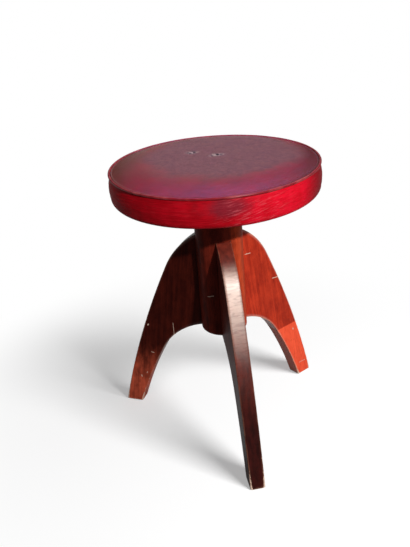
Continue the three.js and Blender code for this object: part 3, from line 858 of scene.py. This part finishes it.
smooth.levels = smooth.render_levels = 1
f = Finish("hair_and_wadding")
place = f.place()
tufts, hairs = f.noise(place, 120, 4, 0.65), f.noise(place, (900, 900, 300), 3, 0.6, 1.5)
wadding = f.done(
    tufts * 1.2 + hairs * 0.3,
    Base_Color=f.mix(tufts + hairs * 0.3, (0.3, 0.22, 0.14), (0.68, 0.6, 0.46)),
    Roughness=0.95,
)
finished(pad, "seat", wadding, "seat_pad")


# Leather top. One round of red hide, stretched over the stuffing and sewn in with the welt. Years of
# sitting have dulled its middle, and two dry scuffs show near the back. Its left end is browner, and
# both ends are painted darker as shade.

top_seam_height = pad_seam_height + leather_gap + leather_thick
level_radius = 0.108


def soft_waves(seed, angle, across, count, longest):
    """A sum of waves of random direction and phase, sin(k . p + c) / sqrt(count), on flat places
    p = across (cos a, sin a)."""
    rng = np.random.default_rng(seed)
    spot = np.stack([across * np.cos(angle), across * np.sin(angle)], -1)
    heading = rng.uniform(0, 2 * math.pi, count)
    waves = 2 * math.pi / (longest * rng.uniform(0.45, 1, count))
    vectors = np.stack([waves * np.cos(heading), waves * np.sin(heading)])
    return np.sin(spot @ vectors + rng.uniform(0, 2 * math.pi, count)).sum(-1) / math.sqrt(count)


def leather_top_grid(columns):
    """The hide's upper face by radius and angle: nearly level to 108 mm, then falling by 8.2 mm t^2.2
    to the seam, with slow hollows. It rolls down behind the welt on a round of 1.7 mm, and puckers by
    the stitches as exp(-(R - r) / 3 mm)."""
    radii = np.concatenate([np.linspace(0, 0.105, 34), np.linspace(0.107, 0.1637, 44)])
    roll = quarter_round((0.1632, 0.4892), 0.0017, 66, 0, 5)
    angles, across = np.meshgrid(round_angles(columns), radii)
    hollows = soft_waves(5, angles, across, 9, 0.11) * np.clip((0.165 - across) / 0.03, 0, 1)
    stitches = np.cos(104 * angles + 1.3 * np.sin(5 * angles) + 0.9 * np.sin(11 * angles + 1))
    strength = 0.6 + 0.4 * np.sin(3 * angles + 2) * np.sin(7 * angles)
    pucker = np.exp((across - 0.1637) / 0.003) * stitches * strength
    steep = np.clip((across - level_radius) / 0.0557, 0, 1) ** 2.2
    fall = 0.0006 * (across / level_radius) ** 2 + 0.0082 * steep
    height = top_seam_height + crown_rise - np.minimum(fall, crown_rise - 0.0001)
    height = height + 0.0003 * (hollows - 1) + 0.0001 * (pucker - 1)
    edge = turned(np.vstack([roll, [(0.1649, 0.4883)]]), columns)
    return np.concatenate([polar(across, angles, height), edge])


def walled(made, thickness):
    """Gives a sheet its thickness on its inner side."""
    solid = made.modifiers.new("hide", "SOLIDIFY")
    solid.thickness, solid.offset = thickness, -1
    solid.use_rim = True


def dry_scuff(f, place, centre, reach):
    """The share of wear in an irregular spot about a centre, wider along X than along Y."""
    away = f.vector("LENGTH", f.vector("MULTIPLY", f.vector("SUBTRACT", place, centre), (1, 1.5, 1)))
    ragged = f.noise(place, 260, 4, 0.65)
    return 1 - f.rise(away + (ragged - 0.5) * reach * 2.4, 0.35 * reach, reach)


f = Finish("top_hide")
place = f.place()
pebble = f.cells(place, 900)
speckle = f.noise(place, 430, 3, 0.7)
clouds = f.noise(place, 16, 4, 0.6)
mottle = f.noise(place, 90, 4, 0.65)
creases = f.cells(f.vector("ADD", place, (0.3, 0.2, 0)), 60)
tone = f.rise(clouds * 0.5 + mottle * 0.25 + speckle * 0.25, 0.34, 0.66)
colour = f.mix(tone, (0.14, 0.002, 0.006), (0.28, 0.006, 0.014))
# Towards the left end the hide is browner and darker: a brown tint, with painted shade.
leftward = f.vector("DOT_PRODUCT", place, (-0.95, 0.3, 0))
colour = f.mix(f.rise(leftward, 0.10, 0.15) * 0.85, colour, (0.125, 0.024, 0.011))
# Towards the right end the hide is darker: painted shade.
rightward = f.vector("DOT_PRODUCT", place, (0.95, -0.3, 0))
colour = f.mix(f.rise(rightward, 0.12, 0.155) * 0.75, colour, (0.065, 0.002, 0.004))
away = f.vector("DISTANCE", place, (0.020, 0.018, 0.4998))
dusty = 1 - f.rise(away + (clouds - 0.5) * 0.05 + (mottle - 0.5) * 0.02, 0.106, 0.142)
grime = f.rise(mottle * 0.4 + speckle * 0.6, 0.38, 0.62)
colour = f.mix(dusty * 0.92, colour, f.mix(grime, (0.100, 0.026, 0.026), (0.215, 0.085, 0.076)))
fold = (1 - f.rise(creases, 0.0, 0.04)) * f.rise(mottle, 0.45, 0.7)
colour = f.mix(fold * 0.35, colour, (0.06, 0.008, 0.010))
flecks = f.rise(f.noise(place, (150, 90, 90), 2), 0.50, 0.54)
scuff = dry_scuff(f, place, (-0.0281, 0.0410, 0.4998), 0.014)
scuff = scuff + dry_scuff(f, place, (0.0071, 0.0110, 0.4998), 0.015)
colour = f.mix(scuff * 0.7, colour, (0.58, 0.46, 0.43))
colour = f.mix(scuff * flecks, colour, (0.012, 0.005, 0.006))
top_hide = f.done(
    f.rise(pebble, 0.0, 0.35) * 0.1 + speckle * 0.12 - fold * 0.12 + mottle * 0.35
    - scuff * flecks * 0.15,
    Base_Color=colour,
    Roughness=0.25 + mottle * 0.1 + dusty * 0.16 + scuff * 0.2,
    Specular_IOR_Level=0.22,
)
top = surface("leather_top", [leather_top_grid(324)], sharp=180)
walled(top, leather_thick)
finished(top, "seat", top_hide, "seat_cover_top")


# Welt. A cord covered with a strip of the same hide, sewn between the top and the side. The strip's
# two edges lie together in the seam.

welt_radius, welt_height, welt_thick = 0.1670, 0.4894, 0.00205
columns = 420
round_part = quarter_round((welt_radius, welt_height), welt_thick, -104, 228, 22)
tail = [(0.1645, 0.4878), (0.1604, 0.4878), (0.1604, 0.4871), (0.1655, 0.4871)]
welt_profile = np.vstack([round_part, tail, round_part[:1]])
angle = round_angles(columns)
grid = turned(welt_profile, columns)
uneven = 1 + 0.03 * np.sin(3 * angle + 1) + 0.02 * np.sin(8 * angle) + 0.02 * np.sin(21 * angle + 2)
uneven = np.minimum(uneven, 1.03)[None, :, None]
heart = polar(welt_radius, angle, welt_height)
round_rows = len(round_part)
grid[:round_rows] = heart + (grid[:round_rows] - heart) * uneven
grid[-1] = grid[0]
welt = surface("leather_welt", [grid], sharp=70)
f = Finish("welt_hide")
place = f.place()
pebble, mottle = f.noise(place, 1500, 2), f.noise(place, 120, 4, 0.6)
rubbed = f.rise(f.noise(place, 60, 3) + pebble * 0.2, 0.52, 0.78)
colour = f.mix(mottle, (0.15, 0.003, 0.008), (0.30, 0.010, 0.018))
colour = f.mix(rubbed * 0.4, colour, (0.5, 0.10, 0.10))
welt_hide = f.done(
    pebble * 0.05 + mottle * 0.12,
    Base_Color=colour,
    Roughness=0.3 + mottle * 0.12,
    Specular_IOR_Level=0.25,
)
finished(welt, "seat", welt_hide, "seat_piping")


# Side band. A long strip of thin red hide drawn round the pad, under the board's rounded edge and in
# to the tacks. It has stretched into fine level wrinkles, and it has a dull patch and strained streaks
# at the front. Its left side and its right end are painted darker, as shade.

band_offset = leather_gap + leather_thick
fold_radius, hem_radius = 0.0013, 0.142


def band_grid(columns):
    """The band's outer face, from its turned-in top edge down the wall, round the corner and in to
    the hem. Wrinkles stand out by waves sin(2 pi z / length + drift) of a few lengths, whose drift and
    strength change slowly round the seat."""
    share = np.linspace(0.962, 0, 72)
    wall_heights = corner_height + share * (wall_top - corner_height)
    wall_points = np.stack([wall(share, band_offset), wall_heights], 1)
    fold_heart = wall_points[0, 0] - fold_radius, wall_top - fold_radius
    over = quarter_round(fold_heart, fold_radius, 90, 12, 5)
    allowance = [(r, wall_top) for r in np.linspace(0.1605, over[0, 0] - 0.0006, 5)]
    corner_heart = board_radius - corner_radius, corner_height
    corner = quarter_round(corner_heart, corner_radius + band_offset, -6, -90, 14)
    hem = [(r, corner[-1, 1]) for r in np.linspace(0.1575, hem_radius, 8)]
    profile = np.vstack([allowance, over, wall_points, corner, hem])
    grid = turned(profile, columns)
    angle = round_angles(columns)
    rng = np.random.default_rng(11)
    height = profile[:, 1:2]
    wrinkles = np.zeros((len(profile), columns))
    for length, size in ((0.0105, 0.16), (0.0068, 0.2), (0.0044, 0.16), (0.0031, 0.12)):
        phases, turns = rng.uniform(0, 2 * math.pi, (2, 6)), rng.integers(2, 15, 6)
        drift = sum(1.5 / (1 + 0.15 * t) * np.sin(t * angle + p) for t, p in zip(turns, phases[0]))
        rise = sum(np.sin((t + 3) * angle + p) for t, p in zip(turns, phases[1])) / 6
        strength = size * np.clip(0.45 + 1.2 * rise, 0, 1.4)
        wrinkles += strength * np.sin(2 * math.pi * height / length + drift)
    on_wall = np.clip((height - 0.449) / 0.004, 0, 1)
    on_wall = on_wall * np.clip((0.4866 - height) / 0.003, 0, 1)
    stretched = 0.0005 * on_wall * wrinkles
    return grid + stretched[..., None] * polar(1, angle, 0)


band = surface("leather_band", [band_grid(420)], sharp=60)
walled(band, leather_thick)
f = Finish("side_hide")
place = f.place()
along, deep, height = (f.add("SeparateXYZ", {}, {0: place}, out=axis) for axis in range(3))
slanted = f.add("CombineXYZ", {}, {0: along, 1: deep, 2: height - along * 0.22})
level = f.noise(place, (30, 30, 700), 4, 0.6, 0.4)
drawn = f.noise(slanted, (42, 42, 520), 4, 0.62, 0.5)
fine = f.noise(place, (90, 90, 1500), 3, 0.6, 0.3)
pebble = f.noise(place, 1300, 2)
mottle = f.noise(place, 45, 4, 0.6)
tone = f.rise(mottle * 0.6 + level * 0.4, 0.30, 0.70)
# The left side's red is a darker copy: painted shade.
shaded_red = f.mix(tone, (0.28, 0.0015, 0.005), (0.46, 0.003, 0.011))
bright = f.mix(tone, (0.52, 0.003, 0.010), (0.76, 0.006, 0.026))
colour = f.mix(f.rise(along, -0.05, 0.07), shaded_red, bright)
# Painted shade: the right end is darker.
colour = f.mix(f.rise(along, 0.095, 0.145) * 0.85, colour, (0.12, 0.001, 0.004))
away = f.vector("MULTIPLY", f.vector("SUBTRACT", place, (-0.014, -0.169, 0.4755)), (1, 1, 2.6))
dull = 1 - f.rise(f.vector("LENGTH", away) + (mottle - 0.5) * 0.05, 0.012, 0.052)
colour = f.mix(dull * 0.75, colour, (0.16, 0.014, 0.026))
strained = 1 - f.rise(f.vector("DISTANCE", place, (0.024, -0.167, 0.468)), 0.02, 0.075)
crests = f.rise(drawn * 0.7 + fine * 0.3, 0.5, 0.64)
colour = f.mix(crests * (strained * 0.34 + 0.04), colour, (0.72, 0.13, 0.16))
troughs = 1 - f.rise(level * 0.5 + drawn * 0.5, 0.34, 0.46)
colour = f.mix(troughs * 0.25, colour, (0.15, 0.001, 0.004))
side_hide = f.done(
    level * 0.5 + drawn * (strained * 0.5 + 0.35) + fine * 0.12 + pebble * 0.05,
    Base_Color=colour,
    Roughness=0.42 + mottle * 0.1 - crests * 0.06,
    Specular_IOR_Level=0.03,
)
finished(band, "seat", side_hide, "seat_cover_band")


# Bottom cloth. A round of thin black cloth with a hole for the plate. It covers the leather's hem and
# the board, and hangs a little slack between the tacks.

cloth_inner, cloth_outer, cloth_height, cloth_thick = 0.067, 0.156, 0.4427, 0.0005
angles, across = np.meshgrid(round_angles(168), np.linspace(cloth_inner, cloth_outer, 30))
tack_count, tack_circle = 28, 0.1495
between = 0.5 - 0.5 * np.cos(tack_count * angles)
slack = 0.0003 * between * np.exp(-((across - tack_circle) / 0.012) ** 2)
slack = slack + 0.0004 * np.sin(math.pi * (across - cloth_inner) / (cloth_outer - cloth_inner))
grid = polar(across, angles, cloth_height - 0.0006 - slack)
both_faces = np.concatenate([grid[::-1], grid + [0, 0, cloth_thick], grid[-1:]])
dust_sheet = surface("bottom_sheet", [both_faces], sharp=50)
f = Finish("black_cloth")
place = f.place()
warp, weft = (f.noise(place, scale, 2) for scale in ((1500, 160, 50), (160, 1500, 50)))
fade = f.noise(place, 22, 3)
black_cloth = f.done(
    warp * 0.12 + weft * 0.12,
    Base_Color=f.mix(fade * 0.6 + warp * 0.4, (0.008, 0.008, 0.009), (0.05, 0.046, 0.044)),
    Roughness=0.92,
    Sheen_Weight=0.2,
)
finished(dust_sheet, "seat", black_cloth, "bottom_cloth")


# Tacks. Small iron tacks with domed heads, blacked. They are driven through the cloth and the hem into
# the board, in one even ring.

dome_profile = [
    (0, -0.0016), (0.0016, -0.0014), (0.003, -0.0009), (0.0041, -0.0002), (0.0045, 0.0004), (0, 0.0004),
]
dome = turned(dome_profile, 16)
tack_angles = 2 * math.pi * (np.arange(tack_count) + 0.5) / tack_count
tacks = surface("upholstery_tacks", [
    dome + polar(tack_circle, angle, cloth_height - 0.0008) for angle in tack_angles
])
finished(tacks, "seat", iron("tack_iron", 0.1))


# Floor, surround, lamps and camera. A white floor and a white surround. Mirrored rays see the floor
# darker, and a surround that is dark in front, pale behind and violet high behind the seat, which the
# leather shows along its front edge.

f = Finish("white_floor")
place = f.place()
camera_ray, mirror_ray, clear_ray = (f.add("LightPath", out=number) for number in (0, 3, 6))
shown = camera_ray.math("MAXIMUM", camera_ray, mirror_ray * 0.4)
shown = shown.math("MAXIMUM", shown, clear_ray)
own = f.rise(f.vector("LENGTH", place), 0.25, 0.7)
paper = f.add("BsdfDiffuse", {}, {"Color": (0.58, 0.58, 0.58, 1)})
near = f.add("Emission", {}, {"Color": (0.38, 0.38, 0.38, 1), "Strength": 1})
far = f.add("Emission", {}, {"Color": (1, 1, 1, 1), "Strength": 1})
lit = f.add("AddShader", {}, {0: paper, 1: near})
seen = f.add("MixShader", {}, {0: own, 1: lit, 2: far})
dull = f.add("BsdfDiffuse", {}, {"Color": (0.14, 0.14, 0.14, 1)})
f.add("OutputMaterial", {}, {"Surface": f.add("MixShader", {}, {0: shown, 1: dull, 2: seen})})
floor_mesh = bpy.data.meshes.new("floor")
corners = [(30 * x, 30 * y, -0.0003) for x, y in ((-1, -1), (1, -1), (1, 1), (-1, 1))]
floor_mesh.from_pydata(corners, [], [(0, 1, 2, 3)])
floor = added("floor", floor_mesh)
floor.data.materials.append(f.material)

world = bpy.data.worlds.new("white_surround")
bpy.context.scene.world = world
world.use_nodes = True
f = Finish("surround", world)
towards = f.add("TexCoord")
behind = f.vector("DOT_PRODUCT", towards, (0.148, 0.989, 0))
aside = f.vector("DOT_PRODUCT", towards, (0.989, -0.148, 0))
height = f.add("SeparateXYZ", {}, {0: towards}, out=2)
opening = f.rise(behind + height * 0.3, 0.8, 1.03) * (1 - f.rise(abs(aside), 0.05, 0.26))
mirrored = f.mix(opening, (0.08, 0.07, 0.07), (0.62, 0.57, 0.5))
overhead = f.rise(height, 0.6, 0.74) * f.rise(behind, 0.0, 0.3)
overhead = overhead * (1 - f.rise(abs(aside - 0.05), 0.12, 0.42))
mirrored = f.mix(overhead, mirrored, (4.0, 3.1, 7.9))
camera_ray, mirror_ray, clear_ray = (f.add("LightPath", out=number) for number in (0, 3, 6))
colour = f.mix(mirror_ray.math("MAXIMUM", mirror_ray, clear_ray), (0.05, 0.05, 0.05), mirrored)
colour = f.mix(camera_ray, colour, (1, 1, 1))
f.add("OutputWorld", {}, {"Surface": f.add("Background", {}, {"Color": colour, "Strength": 1})})


def heading(azimuth, elevation):
    """The unit vector towards an azimuth from +X and an elevation, both in radians."""
    level = math.cos(elevation)
    return Vector((math.cos(azimuth) * level, math.sin(azimuth) * level, math.sin(elevation)))


def lamp(name, azimuth, elevation, wide, tall, level, colour, state, receivers):
    """A flat lamp 5 m from the middle of the stool, towards an azimuth and elevation in degrees, with
    its width and height as angles. White paper that faces it shows the level: power = pi^2
    distance^2 level. It lights only the receivers if the state is INCLUDE, and all but them if it is
    EXCLUDE."""
    data = bpy.data.lights.new(name, "AREA")
    data.shape = "RECTANGLE"
    distance = 5.0
    data.size, data.size_y = (2 * distance * math.tan(math.radians(angle / 2)) for angle in (wide, tall))
    data.energy = math.pi**2 * distance**2 * level
    data.color = colour
    made = added(name, data)
    towards = heading(math.radians(azimuth), math.radians(elevation))
    made.location = Vector((0, 0, 0.3)) + distance * towards
    made.rotation_euler = towards.to_track_quat("Z", "Y").to_euler()
    linked = bpy.data.collections.new(name + "_receivers")
    for receiver in receivers:
        linked.objects.link(receiver)
    made.light_linking.receiver_collection = linked
    for entry in linked.collection_objects:
        entry.light_linking.link_state = state


# The strong lamp is to the front right. The left leg has a weaker one from the same side, and the
# floor a wide one farther round. A soft lamp in front and two behind fill the shade.
lamp("key_lamp", -71, 31.5, 1.6, 1.6, 1.0, (1, 0.98, 0.95), "EXCLUDE", [floor, planks["leg_left"]])
lamp("left_leg_lamp", -71, 31.5, 1.6, 1.6, 0.7, (1, 0.98, 0.95), "INCLUDE", [planks["leg_left"]])
lamp("floor_lamp", -48, 31.5, 25, 25, 1.99, (1, 1, 1), "INCLUDE", [floor])
lamp("front_lamp", -80, 22, 14, 26, 0.11, (1, 1, 1), "EXCLUDE", [floor])
lamp("left_back_lamp", 140, 50, 20, 20, 0.18, (1, 1, 1), "EXCLUDE", [floor])
lamp("right_back_lamp", 35, 45, 20, 20, 0.2, (1, 1, 1), "EXCLUDE", [floor])

camera_azimuth, camera_elevation, camera_roll = map(math.radians, (-98.49, 26.031, -4.478))
camera_distance, camera_target = 1.13541, Vector((-0.02751, 0.00411, 0.29596))
back = heading(camera_azimuth, camera_elevation)
level = Vector((-math.sin(camera_azimuth), math.cos(camera_azimuth), 0))
over = back.cross(level)
right = math.cos(camera_roll) * level + math.sin(camera_roll) * over
up = math.cos(camera_roll) * over - math.sin(camera_roll) * level
lens = bpy.data.cameras.new("photo_camera")
lens.sensor_width, lens.lens = 36, 43.462
camera = added("photo_camera", lens)
turned_to_stool = Matrix((right, up, back)).transposed().to_4x4()
camera.matrix_world = Matrix.Translation(camera_target + camera_distance * back) @ turned_to_stool
bpy.context.scene.camera = camera
bpy.context.scene.view_settings.view_transform = "Standard"
